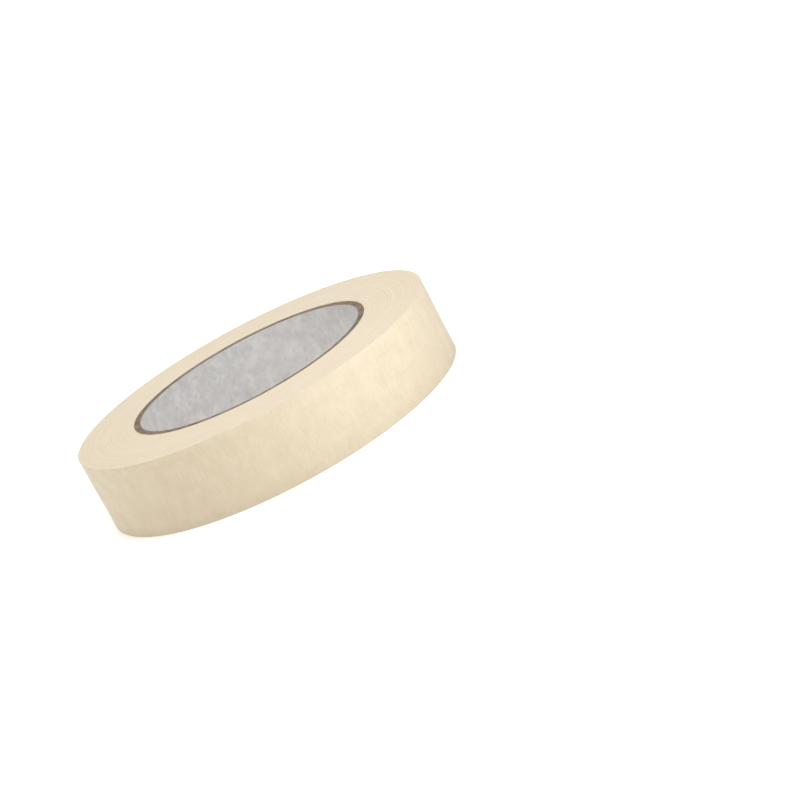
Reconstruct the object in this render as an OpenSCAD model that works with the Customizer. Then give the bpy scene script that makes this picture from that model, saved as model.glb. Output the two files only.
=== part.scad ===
// Masking tape roll: a wound strip of crepe paper tape on a spiral-wound paperboard core.
// The roll lies on its side: its axis is +Z, and the middle of its lower face is the origin.

/* [Tape] */
// Width of the tape, which is also the height of the roll
tape_w = 24; // [12:1:50]
// Length of tape wound on the core, in metres
tape_len = 50; // [20:1:60]
// Thickness of the crepe paper backing with its release coat
backing_t = 0.095; // [0.08:0.005:0.12]
// Thickness of the adhesive under the backing
adhesive_t = 0.03; // [0.02:0.005:0.05]

/* [Free end] */
// Direction of the cut end of the tape, in degrees round the axis
end_angle = 98; // [0:2:358]
// Arc of the outer turn that peels off, in degrees
tail_arc = 36; // [24:12:60]

/* [Core] */
// Bore of the core, for a 3 inch spindle
core_bore = 76.2; // [70:0.1:80]
// Thickness of the pale paper that lines the bore
liner_t = 0.4; // [0.2:0.05:0.5]
// Thickness of each board ply
board_t = 0.4; // [0.3:0.05:0.6]
// Thickness of the kraft paper under the tape
cover_t = 0.2; // [0.1:0.05:0.3]
// Axial advance of each ply in one full turn of its spiral
ply_pitch = 120; // [100:5:150]
// Width of the open butt seam where the two edges of a ply meet
seam_gap = 0.4; // [0.2:0.1:1]

/* [Hidden] */
// Paper and board
TAPE_COLOUR = "#EFDFC4";
ADHESIVE_COLOUR = "#E6D2A2";
LINER_COLOUR = "#C9C8C6";
BOARD_COLOUR = "#8E7A68";
KRAFT_COLOUR = "#A08468";

BOARD_PLIES = 4;
TAIL_SEGMENTS = 6;
// The plies' seams are spread round the core, so that no two lie on each other
SEAM_STEP = 137;
SEAM_START = 255;
// Straight pieces that follow a seam's spiral from one face of the roll to the other
SEAM_PIECES = 8;

bore_r = core_bore / 2;
board_r = bore_r + liner_t;
cover_r = board_r + BOARD_PLIES * board_t;
core_r = cover_r + cover_t;
tape_t = backing_t + adhesive_t;
// The wound strip's edge area is its length times its thickness
roll_r = sqrt(core_r ^ 2 + 1000 * tape_len * tape_t / PI);

// Every spiral outline has its corners at multiples of this angle, so that the turns nest
facet = 2;
segment_arc = tail_arc / TAIL_SEGMENTS;
tail_start = end_angle - tail_arc;
turn_start = end_angle - 360;
round_fn = 180;
over = 1;

// Radius of the outer turn's outside: it climbs by one thickness of tape in a turn
function spiral_r(a) = roll_r - tape_t * (end_angle - a) / 360;

function polar(r, a) = [r * cos(a), r * sin(a)];

// Corners of the spiral from one angle to another, a given depth under the tape's surface
function spiral_points(from, to, depth) =
    [for (a = [from : facet : to]) polar(spiral_r(a) - depth, a)];

function reversed(list) = [for (i = [len(list) - 1 : -1 : 0]) list[i]];

// A stretch of the outer turn between two depths under its surface
module strip(from, to, top, bottom) {
    linear_extrude(tape_w)
        polygon(concat(
            spiral_points(from, to, top),
            reversed(spiral_points(from, to, bottom))
        ));
}

module ring(inner, outer) {
    difference() {
        cylinder(h = tape_w, r = outer, $fn = round_fn);
        translate([0, 0, -over])
            cylinder(h = tape_w + 2 * over, r = inner, $fn = round_fn);
    }
}

// The gap of a ply's seam: a narrow slot that climbs the wall on the ply's spiral
module seam_slot(r, thickness, gap) {
    rise = tape_w / SEAM_PIECES;
    turn = 360 * rise / ply_pitch;
    run = 2 * PI * r * turn / 360;
    slope = atan2(rise, run);
    piece_l = norm([run, rise]) + gap;
    for (i = [-1 : SEAM_PIECES])
        rotate([0, 0, (i + 0.5) * turn])
            translate([r, 0, (i + 0.5) * rise])
                rotate([slope, 0, 0])
                    cube([thickness + over, piece_l, gap], center = true);
}

// One ply of the core: a strip of paper, once round, with its two edges nearly meeting
module ply(inner, thickness, index, gap) {
    difference() {
        ring(inner, inner + thickness);
        rotate([0, 0, SEAM_START + index * SEAM_STEP])
            seam_slot(inner + thickness / 2, thickness, gap);
    }
}

module core_liner() {
    color(LINER_COLOUR) ply(bore_r, liner_t, 0, seam_gap / 2);
}

module core_board_ply(i) {
    color(BOARD_COLOUR) ply(board_r + (i - 1) * board_t, board_t, i, seam_gap);
}

module core_cover_ply() {
    color(KRAFT_COLOUR) ply(cover_r, cover_t, BOARD_PLIES + 1, seam_gap);
}

// Every turn under the outer one, wound tight on the core
module tape_winding() {
    color(TAPE_COLOUR)
        difference() {
            linear_extrude(tape_w)
                polygon(spiral_points(turn_start, end_angle, tape_t));
            translate([0, 0, -over])
                cylinder(h = tape_w + 2 * over, r = core_r, $fn = round_fn);
        }
}

// The outer turn, from the end of the winding to the line where the free end lifts
module tape_outer_turn() {
    color(TAPE_COLOUR) strip(turn_start, tail_start, 0, tape_t);
}

module tail_backing(i) {
    from = tail_start + (i - 1) * segment_arc;
    color(TAPE_COLOUR) strip(from, from + segment_arc, 0, backing_t);
}

module tail_adhesive(i) {
    from = tail_start + (i - 1) * segment_arc;
    color(ADHESIVE_COLOUR) strip(from, from + segment_arc, backing_t, tape_t);
}

core_liner();
core_cover_ply();
tape_winding();
tape_outer_turn();
for (i = [1 : BOARD_PLIES])
    core_board_ply(i);
for (i = [1 : TAIL_SEGMENTS]) {
    tail_backing(i);
    tail_adhesive(i);
}
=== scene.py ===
import math

import bpy
import numpy as np
from mathutils import Matrix, Vector


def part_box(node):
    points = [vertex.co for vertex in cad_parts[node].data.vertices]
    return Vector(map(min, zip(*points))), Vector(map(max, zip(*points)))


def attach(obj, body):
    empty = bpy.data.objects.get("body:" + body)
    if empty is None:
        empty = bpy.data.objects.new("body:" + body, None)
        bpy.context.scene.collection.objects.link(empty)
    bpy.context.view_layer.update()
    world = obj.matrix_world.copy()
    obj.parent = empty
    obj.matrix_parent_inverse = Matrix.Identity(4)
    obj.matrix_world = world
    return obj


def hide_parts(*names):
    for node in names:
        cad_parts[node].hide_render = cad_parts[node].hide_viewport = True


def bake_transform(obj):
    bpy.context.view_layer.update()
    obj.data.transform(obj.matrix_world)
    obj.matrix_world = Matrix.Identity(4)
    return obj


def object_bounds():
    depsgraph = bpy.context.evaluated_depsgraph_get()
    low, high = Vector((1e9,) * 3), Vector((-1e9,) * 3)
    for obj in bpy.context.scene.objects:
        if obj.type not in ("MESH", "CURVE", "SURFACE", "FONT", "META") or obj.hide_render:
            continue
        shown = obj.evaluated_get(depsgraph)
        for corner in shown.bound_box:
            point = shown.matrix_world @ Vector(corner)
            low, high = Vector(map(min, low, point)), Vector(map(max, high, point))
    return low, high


# A masking tape roll: crepe paper tape wound on a spiral-wound paperboard core.
# Lengths are in metres. Angles are in degrees round the roll's axis, which is +Z.

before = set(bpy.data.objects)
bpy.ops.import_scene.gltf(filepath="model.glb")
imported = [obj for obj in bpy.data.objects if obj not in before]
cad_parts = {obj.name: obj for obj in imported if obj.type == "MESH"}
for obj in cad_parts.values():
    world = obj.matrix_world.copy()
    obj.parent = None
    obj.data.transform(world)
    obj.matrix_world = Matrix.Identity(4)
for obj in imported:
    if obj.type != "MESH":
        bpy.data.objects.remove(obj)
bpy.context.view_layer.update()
MM = 0.001


# ---- Sizes, from the frame ----

def polar(node):
    """Angles and radii of a CAD node's corners."""
    points = np.array([v.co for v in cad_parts[node].data.vertices])
    return np.degrees(np.arctan2(points[:, 1], points[:, 0])), np.hypot(points[:, 0], points[:, 1])


def radii(node):
    """Inner and outer radius of a ring."""
    radius = polar(node)[1]
    return radius.min(), radius.max()


def strip_radii(node):
    """Inner and outer radius of a strip of the tail, where it begins."""
    angle, radius = polar(node)
    first = radius[angle < angle.min() + 0.01]
    return first.min(), first.max()


TAPE_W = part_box("tape_winding")[1].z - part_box("tape_winding")[0].z
CORE_R = radii("core_cover_ply")[1]
BACKING_IN, BACKING_OUT = strip_radii("tail_backing_1")
ADHESIVE_IN = strip_radii("tail_adhesive_1")[0]
BACKING_T = BACKING_OUT - BACKING_IN
TAPE_T = BACKING_OUT - ADHESIVE_IN
SEGMENTS = sum(node.startswith("tail_backing_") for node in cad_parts)
BOARD_PLIES = sum(node.startswith("core_board_ply_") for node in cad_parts)
TAIL_START = polar("tail_backing_1")[0].min()
TAPE_END = polar(f"tail_backing_{SEGMENTS}")[0].max()
ROLL_R = polar(f"tail_backing_{SEGMENTS}")[1].max()
SEGMENT = (TAPE_END - TAIL_START) / SEGMENTS
TURN_START = TAPE_END - 360

# The wound turns end this far under the outer turn, so that its creases never sink into them
WALL_SINK = 0.04 * MM
WOUND_TURNS = round((ROLL_R - CORE_R) / TAPE_T) - 2
WOUND_PITCH = (ROLL_R - 2 * TAPE_T - WALL_SINK - CORE_R) / WOUND_TURNS

# The tail's first stretch starts only this far before its hinge, so that it doesn't sink into the roll
LIFT = SEGMENT / 8

# The plies' seams climb the core on a spiral, and are spread round it as in the part.
# The seams are narrower here than there.
PLY_PITCH = 120 * MM
SEAM_START = 255
SEAM_STEP = 137
SEAM_GAP = 0.25 * MM

# How deep the edges of the core's plies lie under the faces of the roll
LINER_RECESS = 0.05 * MM
BOARD_RECESS = 0.12 * MM
ODD_BOARD_RECESS = 0.15 * MM
COVER_RECESS = 0.16 * MM
# Height of the waves in the liner's inner wall
LINER_WAVES = 0.035 * MM
# How unevenly the end of the tape is cut, and over what distance
CUT_H = 0.12 * MM
CUT_L = 0.8 * MM


def spiral_r(angle):
    """Radius of the outer turn's outside, which climbs by one thickness of tape in a turn."""
    return ROLL_R - TAPE_T * (TAPE_END - angle) / 360


# ---- Shapes ----

NOISE_COLUMNS, NOISE_ROWS = 2048, 64


def smooth_noise(x, y, seed):
    """Noise from -1 to 1 that passes through one random value at each whole x and y."""
    values = np.random.default_rng(seed).uniform(-1, 1, (NOISE_COLUMNS, NOISE_ROWS))
    x, y = np.broadcast_arrays(np.asarray(x, float), np.asarray(y, float))
    column, row = np.floor(x).astype(int), np.floor(y).astype(int)
    u, v = x - column, y - row
    u, v = u * u * (3 - 2 * u), v * v * (3 - 2 * v)

    def at(i, j):
        return values[i % NOISE_COLUMNS, j % NOISE_ROWS]

    near = at(column, row) * (1 - u) + at(column + 1, row) * u
    far = at(column, row + 1) * (1 - u) + at(column + 1, row + 1) * u
    return near * (1 - v) + far * v


def creases(along, across):
    """Height of the crepe paper, from -1 to 1: short ridges that run across the tape."""
    wander = 0.3 * MM * smooth_noise(along / (4 * MM), across / (2.5 * MM), 1)
    ridges = smooth_noise((along + wander) / (0.42 * MM), across / (2.2 * MM), 2)
    small = smooth_noise((along - wander) / (0.3 * MM), across / (0.9 * MM), 3)
    broad = smooth_noise(along / (7 * MM), across / (6 * MM), 4)
    return 0.5 * ridges + 0.38 * small + 0.12 * broad


def edge_shift(turns):
    """How far the tape's edges lie to one side, after that many turns of winding."""
    close = 0.009 * MM * smooth_noise(turns / 0.37, 0, 5)
    bands = 0.014 * MM * np.tanh(2.5 * smooth_noise(turns / 5.3, 0, 6))
    drift = 0.022 * MM * smooth_noise(turns / 21, 0, 7)
    once_a_turn = 0.01 * MM * np.sin(2 * math.pi * turns) * smooth_noise(turns / 9, 0, 8)
    return close + bands + drift + once_a_turn


# Edges between faces that meet more sharply than this are shaded as edges
SHARP_ANGLE = 40


def make_object(name, points, faces, material):
    mesh = bpy.data.meshes.new(name)
    mesh.from_pydata([tuple(p) for p in points], [], faces)
    mesh.validate()
    mesh.shade_smooth()
    mesh.set_sharp_from_angle(angle=math.radians(SHARP_ANGLE))
    mesh.materials.append(material)
    made = bpy.data.objects.new(name, mesh)
    bpy.context.scene.collection.objects.link(made)
    return made


def lofted(name, sections, material, flat_ends=False):
    """A closed solid through sections, which are closed outlines with equally many points. An end is one
    face if it is flat, or else a row of faces that join the outline's first half to its second."""
    columns, count = sections.shape[:2]
    index = np.arange(columns * count).reshape(columns, count)
    onward = np.roll(index, -1, axis=1)
    faces = np.stack([index[:-1], index[1:], onward[1:], onward[:-1]], axis=-1).reshape(-1, 4).tolist()
    for end in (index[0], index[-1][::-1]):
        if flat_ends:
            faces.append(end.tolist())
        else:
            half = count // 2
            there, back = end[:half], end[::-1][:half]
            faces += np.stack([there[:-1], there[1:], back[1:], back[:-1]], axis=-1).tolist()
    return make_object(name, sections.reshape(-1, 3), faces, material)


def ring_points(radius, angle, z):
    angle = np.radians(angle)
    return np.stack(np.broadcast_arrays(radius * np.cos(angle), radius * np.sin(angle), z), axis=-1)


def store(made, name, kind, domain, values):
    """Keeps values on the mesh under a name, for its material."""
    attribute = made.data.attributes.new(name, kind, domain)
    key = "vector" if kind == "FLOAT_VECTOR" else "value"
    attribute.data.foreach_set(key, np.asarray(values, np.float32).ravel())


# Height of the creases, and how the tape's surface drops towards its two edges
CREPE_H = 0.01 * MM
RIM_W = 0.15 * MM
RIM_DROP = 0.035 * MM
# Length and number of a strip's rows of faces
STRIP_STEP = 0.17 * MM
STRIP_ROWS = 38
# The share of the creases' height that shows on the underside of the tail
UNDER_CREPE = 0.6


def strip(name, start, end, top, bottom, material, under_crepe=0.0, turn=0, cut=False):
    """A stretch of tape from one angle to another, between two depths under the outer turn's outside.
    turn counts back from the outer turn. under_crepe is how much of the creases shows underneath."""
    columns = max(int(math.radians(end - start) * ROLL_R / STRIP_STEP), 2)
    angle = np.linspace(start, end, columns + 1)[:, None]
    middle = np.linspace(0, TAPE_W, STRIP_ROWS + 1)[1:-1]
    across = np.concatenate([[0, RIM_W], middle, [TAPE_W - RIM_W, TAPE_W]])[None, :]
    if cut:
        ragged = CUT_H * smooth_noise(across / CUT_L, 0, 9)
        angle = angle + np.degrees(ragged / ROLL_R) * (angle - start) / (end - start)
    along = np.radians(TAPE_END - angle + 360 * turn) * ROLL_R
    turns = WOUND_TURNS + 1 - turn + (angle - TURN_START) / 360
    z = across + edge_shift(turns)
    height = creases(along, across)
    rim = np.clip(1 - np.minimum(across, TAPE_W - across) / RIM_W, 0, 1)
    upper = ring_points(spiral_r(angle) - top + CREPE_H * height - RIM_DROP * rim, angle, z)
    lower = ring_points(spiral_r(angle) - bottom + CREPE_H * under_crepe * height, angle, z)
    if not under_crepe:
        lower = lower[:, [0, -1]]
    sections = np.concatenate([upper, lower[:, ::-1]], axis=1)
    made = lofted(name, sections, material, flat_ends=not under_crepe)
    field = np.stack(np.broadcast_arrays(along, across, height), axis=-1)
    under = field[:, ::-1] if under_crepe else field[:, [-1, 0]]
    store(made, "tape", "FLOAT_VECTOR", "POINT", np.concatenate([field, under], axis=1))
    return made


TURN_COLUMNS = 300


def winding(name, material):
    """Every turn under the outer one. Each side face follows one spiral line, with a corner of the mesh
    at every step round each turn, so that each turn's edge lies where that turn was wound."""
    count = (WOUND_TURNS + 1) * TURN_COLUMNS
    step = np.arange(count + 1)
    turns = step / TURN_COLUMNS
    radius, angle = CORE_R + WOUND_PITCH * turns, TURN_START + 360 * turns
    first = np.arange(1, TURN_COLUMNS)
    core_angle = TURN_START + 360 * first / TURN_COLUMNS
    points, faces, turn_of_corner = [], [], []
    for side, level in enumerate((0, TAPE_W)):
        base = len(points) and len(points[0])
        spiral = ring_points(radius, angle, level + edge_shift(turns))
        core = ring_points(CORE_R, core_angle, level + edge_shift(first / TURN_COLUMNS))
        points.append(np.concatenate([spiral, core]))
        inward = base + np.concatenate([[0], count + first, [0]])
        k = base + step[: WOUND_TURNS * TURN_COLUMNS]
        first_turn = base + step[: TURN_COLUMNS + 1]
        outward = np.stack([inward[:-1], inward[1:], first_turn[1:], first_turn[:-1]], axis=1)
        cells = np.stack([k, k + 1, k + 1 + TURN_COLUMNS, k + TURN_COLUMNS], axis=1)
        row = np.arange(len(cells)) // TURN_COLUMNS
        for corners, low in ((outward, np.full(TURN_COLUMNS, -1)), (cells, row)):
            flip = slice(None, None, 1) if side == 0 else slice(None, None, -1)
            faces.append(corners[:, flip])
            turn_of_corner.append(np.stack([low, low, low + 1, low + 1], axis=1)[:, flip])
    half = len(points[0])
    inner = np.concatenate([[0], count + first, [0]])
    outer = step[count - TURN_COLUMNS :]
    inner_wall = np.stack([inner[1:], inner[:-1], half + inner[:-1], half + inner[1:]], axis=1)
    outer_wall = np.stack([outer[:-1], outer[1:], half + outer[1:], half + outer[:-1]], axis=1)
    step_wall = np.array([[outer[-1], outer[0], half + outer[0], half + outer[-1]]])
    walls = np.concatenate([inner_wall, outer_wall, step_wall])
    faces = np.concatenate([*faces, walls])
    turn_of_corner = np.concatenate([*turn_of_corner, np.full(walls.shape, float(WOUND_TURNS))])
    listed, values = [], []
    for face, turn in zip(faces.tolist(), turn_of_corner.tolist()):
        kept = [i for i in range(4) if face[i] != face[i - 1]]
        listed.append([face[i] for i in kept])
        values += [turn[i] for i in kept]
    made = make_object(name, np.concatenate(points), listed, material)
    store(made, "turn", "FLOAT", "CORNER", values)
    return made


# Faces round a ply, and from its lower edge to its upper one. The liner's are finer, for its waves.
PLY_COLUMNS = 420
PLY_ROWS = 24
LINER_ROWS = 72
# How unevenly the edges of a ply are cut, and how far its corners are cut off, as a share of its thickness
EDGE_H = 0.04 * MM
EDGE_L = 0.9 * MM
CORNER_SHARE = 0.18


def ply(name, node, index, material, recess, gap=SEAM_GAP, rows=PLY_ROWS, waves=0.0):
    """One ply of the core: a strip of paper once round, whose two edges nearly meet on a spiral seam.
    waves is the height of the waves on its inner wall."""
    inner, outer = radii(node)
    corner = CORNER_SHARE * (outer - inner)
    half_gap = math.degrees(gap / inner) / 2
    turned = np.linspace(half_gap, 360 - half_gap, PLY_COLUMNS + 1)[:, None]
    seed = 20 + 2 * index
    round_the_core = np.radians(turned) * inner
    bottom = recess + EDGE_H * smooth_noise(round_the_core / EDGE_L, 0, seed)
    top = TAPE_W - recess + EDGE_H * smooth_noise(round_the_core / EDGE_L, 0, seed + 1)
    up = bottom + corner + (top - bottom - 2 * corner) * np.linspace(0, 1, rows + 1)[None, :]
    one = np.ones_like(turned)
    wall = np.ones_like(up)
    radius = np.concatenate([one * (inner + corner), wall * inner, one * (inner + corner),
                             one * (outer - corner), wall * outer, one * (outer - corner)], axis=1)
    z = np.concatenate([bottom, up, top, top, up[:, ::-1], bottom], axis=1)
    angle = SEAM_START + index * SEAM_STEP + turned + 360 * z / PLY_PITCH
    if waves:
        far_round = np.radians(angle) * inner
        slow = smooth_noise(far_round / (9 * MM), z / (8 * MM), seed + 2)
        quick = smooth_noise(far_round / (2.2 * MM), z / (1.8 * MM), seed + 3)
        inside = radius < (inner + outer) / 2
        radius = radius + waves * (0.7 * slow + 0.3 * quick) * inside
    return lofted(name, ring_points(radius, angle, z)[:, ::-1], material)


# ---- Materials ----

class Look:
    """A material with a Principled shader, and short ways to add nodes to it."""

    def __init__(self, name):
        self.material = bpy.data.materials.new(name)
        self.material.use_nodes = True
        self.tree = self.material.node_tree
        self.shader = self.tree.nodes["Principled BSDF"]

    def set(self, socket, value):
        if isinstance(value, bpy.types.NodeSocket):
            self.tree.links.new(value, socket)
        else:
            socket.default_value = value

    def add(self, kind, inputs, **settings):
        node = self.tree.nodes.new("ShaderNode" + kind)
        for key, value in settings.items():
            setattr(node, key, value)
        for key, value in inputs.items():
            self.set(node.inputs[key], value)
        return node

    def attribute(self, name, output):
        return self.add("Attribute", {}, attribute_name=name).outputs[output]

    def place(self):
        return self.add("TexCoord", {}).outputs["Object"]

    def scaled(self, vector, factors):
        return self.add("VectorMath", {0: vector, 1: factors}, operation="MULTIPLY").outputs["Vector"]

    def noise(self, vector, scale, detail=2.0, roughness=0.5):
        inputs = {"Vector": vector, "Scale": scale, "Detail": detail, "Roughness": roughness}
        return self.add("TexNoise", inputs).outputs["Fac"]

    def math(self, operation, a, b=0.0):
        return self.add("Math", {0: a, 1: b}, operation=operation).outputs[0]

    def span(self, value, low, high, to_low=0.0, to_high=1.0):
        """value, stretched so that low becomes to_low and high becomes to_high."""
        inputs = {"Value": value, "From Min": low, "From Max": high, "To Min": to_low, "To Max": to_high}
        return self.add("MapRange", inputs).outputs["Result"]

    def mix(self, share, a, b):
        """Colour a where share is 0, and colour b where it is 1."""
        return self.add("Mix", {0: share, 6: a, 7: b}, data_type="RGBA").outputs[2]

    def bump(self, height, distance, strength=1.0, normal=None):
        inputs = {"Height": height, "Distance": distance, "Strength": strength}
        if normal:
            inputs["Normal"] = normal
        return self.add("Bump", inputs).outputs["Normal"]

    def finish(self, colour, roughness, normal):
        self.set(self.shader.inputs["Base Color"], colour)
        self.set(self.shader.inputs["Roughness"], roughness)
        self.set(self.shader.inputs["Normal"], normal)
        return self.material


def shade(red, green, blue):
    """A colour for a shader, from display values of 0 to 255."""
    return tuple(((c / 255 + 0.055) / 1.055) ** 2.4 for c in (red, green, blue)) + (1.0,)


def crepe_look():
    """Crepe paper, with painted shade in its hollows and folds. Its fibres and folds are longer across the
    tape than along it.
    """
    look = Look("crepe_tape")
    strip_place = look.attribute("tape", "Vector")
    height = look.add("SeparateXYZ", {0: strip_place}).outputs["Z"]
    flat = look.scaled(strip_place, (1, 1, 0))
    cloudy = look.noise(flat, 180, 3)
    fibres = look.noise(look.scaled(strip_place, (1, 0.35, 0)), 5200, 3, 0.6)
    lines = look.noise(look.scaled(strip_place, (1, 0.16, 0)), 2300, 3, 0.5)
    slope = look.math("ABSOLUTE", look.math("SUBTRACT", lines, 0.5))
    # Painted shade: a narrow line along each fold, painted darker as if shade fell in it
    painted_crease_shade = look.span(slope, 0.035, 0.0)
    paper = look.mix(look.span(cloudy, 0.35, 0.65), shade(216, 202, 175), shade(211, 196, 168))
    # Painted shade: the hollows between the creases are painted darker, as if shade fell in them
    with_hollow_shade = look.mix(look.span(height, 0.2, -0.7, 0, 0.4), paper, shade(203, 185, 153))
    with_crease_shade = look.mix(look.math("MULTIPLY", painted_crease_shade, 0.3), with_hollow_shade, shade(196, 175, 140))
    colour = look.mix(look.span(fibres, 0.62, 0.8, 0, 0.35), with_crease_shade, shade(224, 213, 192))
    fine = look.bump(fibres, 0.03 * MM, 0.6)
    normal = look.bump(slope, 0.16 * MM, 1.0, fine)
    return look.finish(colour, look.span(cloudy, 0.3, 0.7, 0.5, 0.6), normal)


def tape_edge_look():
    """The side faces of the winding: each turn has its own shade, and a darker line of adhesive."""
    look = Look("tape_edge")
    turn = look.attribute("turn", "Fac")
    across = look.math("FRACT", turn)
    place = look.place()
    whole_turn = {"W": look.math("FLOOR", turn)}
    which = look.add("TexWhiteNoise", whole_turn, noise_dimensions="1D").outputs["Value"]
    many_turns = {"W": turn, "Scale": 0.21, "Detail": 3.0}
    bands = look.add("TexNoise", many_turns, noise_dimensions="1D").outputs["Fac"]
    cloudy = look.noise(place, 140, 3)
    specks = look.noise(place, 5000, 3, 0.6)
    glue = look.math("MULTIPLY", look.span(across, 0.3, 0.16), look.span(across, 0.0, 0.06))
    paper = look.mix(look.span(cloudy, 0.35, 0.65), shade(220, 207, 184), shade(216, 202, 177))
    banded = look.mix(look.span(bands, 0.3, 0.7), paper, shade(210, 194, 165))
    turned = look.mix(look.math("MULTIPLY", which, 0.3), banded, shade(226, 215, 193))
    colour = look.mix(look.math("MULTIPLY", glue, 0.45), turned, shade(188, 164, 122))
    grain = look.bump(specks, 0.02 * MM, 0.5)
    normal = look.bump(look.math("MULTIPLY", glue, -1.0), 0.012 * MM, 0.6, grain)
    return look.finish(colour, look.span(bands, 0.3, 0.7, 0.46, 0.6), normal)


def adhesive_look():
    look = Look("adhesive")
    strip_place = look.attribute("tape", "Vector")
    flat = look.scaled(strip_place, (1, 1, 0))
    cloudy = look.noise(flat, 320, 4, 0.6)
    pores = look.noise(flat, 2600, 3, 0.55)
    colour = look.mix(look.span(cloudy, 0.35, 0.65), shade(233, 214, 174), shade(222, 198, 150))
    return look.finish(colour, look.span(cloudy, 0.3, 0.7, 0.22, 0.36), look.bump(pores, 0.02 * MM, 0.5))


def liner_look():
    """Pale grey recycled paper, brown where it is cut at the core's two ends."""
    look = Look("liner_paper")
    place = look.place()
    cloudy = look.noise(place, 210, 5, 0.6)
    blotches = look.noise(place, 620, 3, 0.6)
    fibres = look.noise(place, 3000, 4, 0.65)
    grey = look.mix(look.span(cloudy, 0.36, 0.64), shade(211, 208, 204), shade(194, 191, 188))
    mottled = look.mix(look.span(blotches, 0.5, 0.72, 0, 0.6), grey, shade(179, 179, 180))
    flecked = look.mix(look.span(fibres, 0.6, 0.78, 0, 0.4), mottled, shade(160, 156, 150))
    height = look.add("SeparateXYZ", {0: place}).outputs["Z"]
    from_middle = look.math("ABSOLUTE", look.math("SUBTRACT", height, TAPE_W / 2))
    cut = look.span(from_middle, TAPE_W / 2 - 0.25 * MM, TAPE_W / 2 - 0.1 * MM)
    colour = look.mix(cut, flecked, shade(134, 120, 104))
    normal = look.bump(blotches, 0.03 * MM, 0.5, look.bump(fibres, 0.03 * MM, 0.7))
    return look.finish(colour, look.span(cloudy, 0.3, 0.7, 0.78, 0.9), normal)


def board_look(name, light, dark):
    look = Look(name)
    place = look.place()
    cloudy = look.noise(place, 260, 4, 0.6)
    fibres = look.noise(look.scaled(place, (1, 1, 0.5)), 3600, 4, 0.7)
    mixed = look.mix(look.span(cloudy, 0.35, 0.65), light, dark)
    colour = look.mix(look.span(fibres, 0.55, 0.75, 0, 0.6), mixed, dark)
    normal = look.bump(fibres, 0.06 * MM, 0.8)
    return look.finish(colour, look.span(cloudy, 0.3, 0.7, 0.85, 0.95), normal)


# ---- Pieces ----

crepe = crepe_look()
tape_edge = tape_edge_look()
adhesive = adhesive_look()
liner_paper = liner_look()
core_board = board_look("core_board", shade(140, 123, 105), shade(104, 89, 74))
kraft_paper = board_look("kraft_paper", shade(142, 116, 88), shade(112, 88, 64))


def on_roll(piece, node):
    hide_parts(node)
    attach(piece, "roll")


def make_core():
    liner = ply("paper_liner", "core_liner", 0, liner_paper, LINER_RECESS, SEAM_GAP / 2, LINER_ROWS,
                LINER_WAVES)
    on_roll(liner, "core_liner")
    for i in range(1, BOARD_PLIES + 1):
        recess = ODD_BOARD_RECESS if i % 2 else BOARD_RECESS
        board = ply(f"board_ply_{i}", f"core_board_ply_{i}", i, core_board, recess)
        on_roll(board, f"core_board_ply_{i}")
    cover = ply("cover_ply", "core_cover_ply", BOARD_PLIES + 1, kraft_paper, COVER_RECESS)
    on_roll(cover, "core_cover_ply")


def make_tape():
    """The wound turns, and the outer turn as far as the first bend of the tail. The turn under the tail
    is a strip too, because it shows when the tail lifts."""
    lift = TAIL_START - LIFT
    on_roll(winding("wound_turns", tape_edge), "tape_winding")
    outer = strip("outer_turn", TURN_START, lift, 0, TAPE_T + WALL_SINK, crepe)
    on_roll(outer, "tape_outer_turn")
    bared = strip("turn_under_tail", lift, TAPE_END, TAPE_T, TAPE_T + WALL_SINK, crepe, turn=1)
    on_roll(bared, "tape_winding")


def make_tail():
    """Each stretch of the tail spans one hinge, and reaches to the middle of the segments on both
    sides, but the first starts LIFT before its hinge. The last half segment is straight."""
    layers = (
        ("tail_paper", "tail_backing", "crepe_tape", crepe, 0, BACKING_T),
        ("tail_glue", "tail_adhesive", "adhesive", adhesive, BACKING_T, TAPE_T),
    )
    for name, node, slot, material, top, bottom in layers:
        for i in range(1, SEGMENTS + 2):
            hinge = TAIL_START + (i - 1) * SEGMENT
            start = hinge - (LIFT if i == 1 else SEGMENT / 2)
            end = min(hinge + SEGMENT / 2, TAPE_END)
            cut = i > SEGMENTS
            piece = strip(f"{name}_{i}", start, end, top, bottom, material, UNDER_CREPE, cut=cut)
            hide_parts(f"{node}_{min(i, SEGMENTS)}")
            if cut:
                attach(piece, f"tail_{SEGMENTS}")
            else:
                ends = [ring_points(spiral_r(a), a, TAPE_W / 2) for a in (start, end)]
                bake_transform(piece)


make_core()
make_tape()
make_tail()


# ---- Studio ----

WHITE = (1.0, 1.0, 1.0, 1.0)
# The floor glows more and more between these two distances from the roll's axis, up to plain white
FLOOR_REACH = 200 * ROLL_R
GLOW_FROM = 1.5 * ROLL_R
GLOW_TO = 6 * ROLL_R
NEAR_GLOW = 0.24
FAR_GLOW = 1.0


def make_floor():
    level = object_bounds()[0].z
    mesh = bpy.data.meshes.new("floor")
    signs = ((-1, -1), (1, -1), (1, 1), (-1, 1))
    corners = [(x * FLOOR_REACH, y * FLOOR_REACH, level) for x, y in signs]
    mesh.from_pydata(corners, [], [(0, 1, 2, 3)])
    look = Look("floor")
    shader = look.shader.inputs
    shader["Roughness"].default_value = 0.9
    shader["Base Color"].default_value = (0.9, 0.9, 0.9, 1.0)
    shader["Specular IOR Level"].default_value = 0.2
    shader["Emission Color"].default_value = WHITE
    away = look.add("VectorMath", {0: look.place()}, operation="LENGTH").outputs["Value"]
    glow = look.span(away, GLOW_FROM, GLOW_TO, NEAR_GLOW, FAR_GLOW)
    look.set(shader["Emission Strength"], glow)
    mesh.materials.append(look.material)
    floor = bpy.data.objects.new("floor", mesh)
    bpy.context.scene.collection.objects.link(floor)


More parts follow.
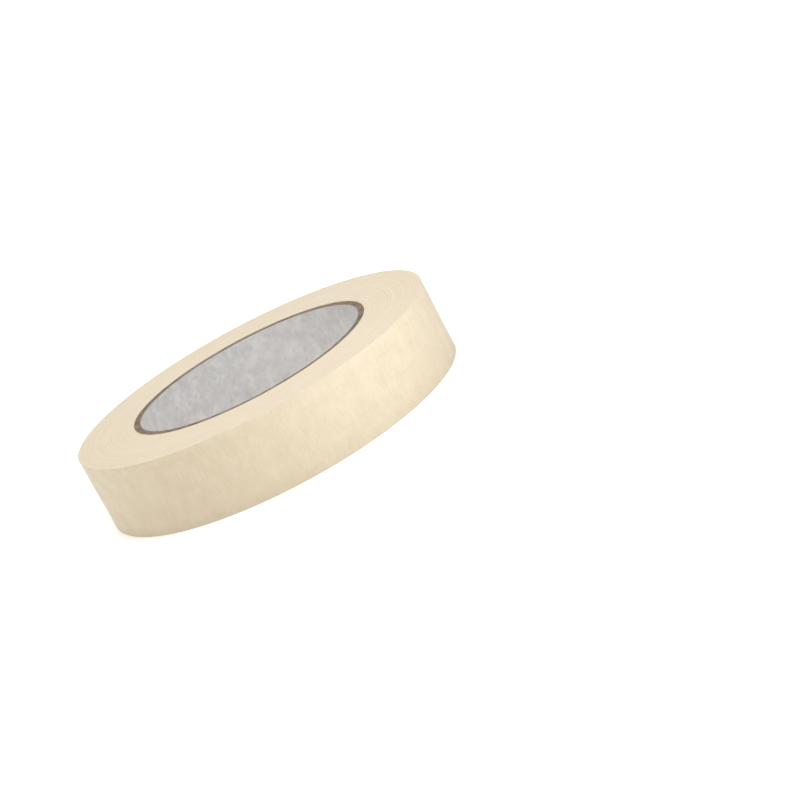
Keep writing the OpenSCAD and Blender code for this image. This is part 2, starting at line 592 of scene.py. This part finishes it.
def towards(azimuth, elevation):
    """Direction from the roll to a place at that azimuth, 0 in front and 90 to the right, and elevation."""
    a, e = math.radians(azimuth), math.radians(elevation)
    return Vector((math.sin(a) * math.cos(e), -math.cos(a) * math.cos(e), math.sin(e)))


def softbox(name, azimuth, elevation, distance, size, power, colour=(1.0, 1.0, 1.0)):
    light = bpy.data.lights.new(name, "AREA")
    light.shape = "DISK"
    light.size = size
    light.energy = power
    light.color = colour
    lamp = bpy.data.objects.new(name, light)
    lamp.location = towards(azimuth, elevation) * distance
    lamp.rotation_mode = "QUATERNION"
    lamp.rotation_quaternion = towards(azimuth, elevation).to_track_quat("Z", "Y")
    bpy.context.scene.collection.objects.link(lamp)


SKY_STRENGTH = 0.28


def make_light():
    """A white sky and five round softboxes. The key lights are close, and the others far off and broad."""
    scene = bpy.context.scene
    scene.view_settings.view_transform = "Standard"
    world = bpy.data.worlds.new("studio")
    world.use_nodes = True
    sky = world.node_tree.nodes["Background"]
    sky.inputs["Color"].default_value = WHITE
    sky.inputs["Strength"].default_value = SKY_STRENGTH
    scene.world = world
    softbox("key", 40, 15, 4.5 * ROLL_R, 2 * ROLL_R, 0.22, (0.94, 0.97, 1.06))
    softbox("high_key", 40, 40, 4.5 * ROLL_R, 2 * ROLL_R, 0.06)
    softbox("overhead", 0, 88, 12 * ROLL_R, 8 * ROLL_R, 3.35)
    softbox("fill", -70, 30, 15 * ROLL_R, 8 * ROLL_R, 1.8)
    softbox("rim", 180, 40, 15 * ROLL_R, 8 * ROLL_R, 1.8)


# The camera stands in front of the roll and looks down on it, leaning to one side. Its lens and sensor
# are in millimetres. FACE_RIGHT and FACE_UP are where the middle of the roll's upper face lies in the
# camera's view, from the view's own middle: to the left and a little above it.
LENS = 100
SENSOR = 36
CAMERA_ELEVATION = 15.7
CAMERA_LEAN = -27.7
CAMERA_DISTANCE = 11.51 * ROLL_R
FACE_RIGHT = -0.784 * ROLL_R
FACE_UP = 0.175 * ROLL_R


def make_camera():
    data = bpy.data.cameras.new("camera")
    data.lens = LENS
    data.sensor_width = SENSOR
    camera = bpy.data.objects.new("camera", data)
    level = towards(0, CAMERA_ELEVATION).to_track_quat("Z", "Y").to_matrix()
    turn = level @ Matrix.Rotation(math.radians(CAMERA_LEAN), 3, "Z")
    face = Vector((0, 0, TAPE_W))
    camera.location = face - turn @ Vector((FACE_RIGHT, FACE_UP, -CAMERA_DISTANCE))
    camera.rotation_mode = "QUATERNION"
    camera.rotation_quaternion = turn.to_quaternion()
    bpy.context.scene.collection.objects.link(camera)
    bpy.context.scene.camera = camera


make_floor()
make_light()
make_camera()
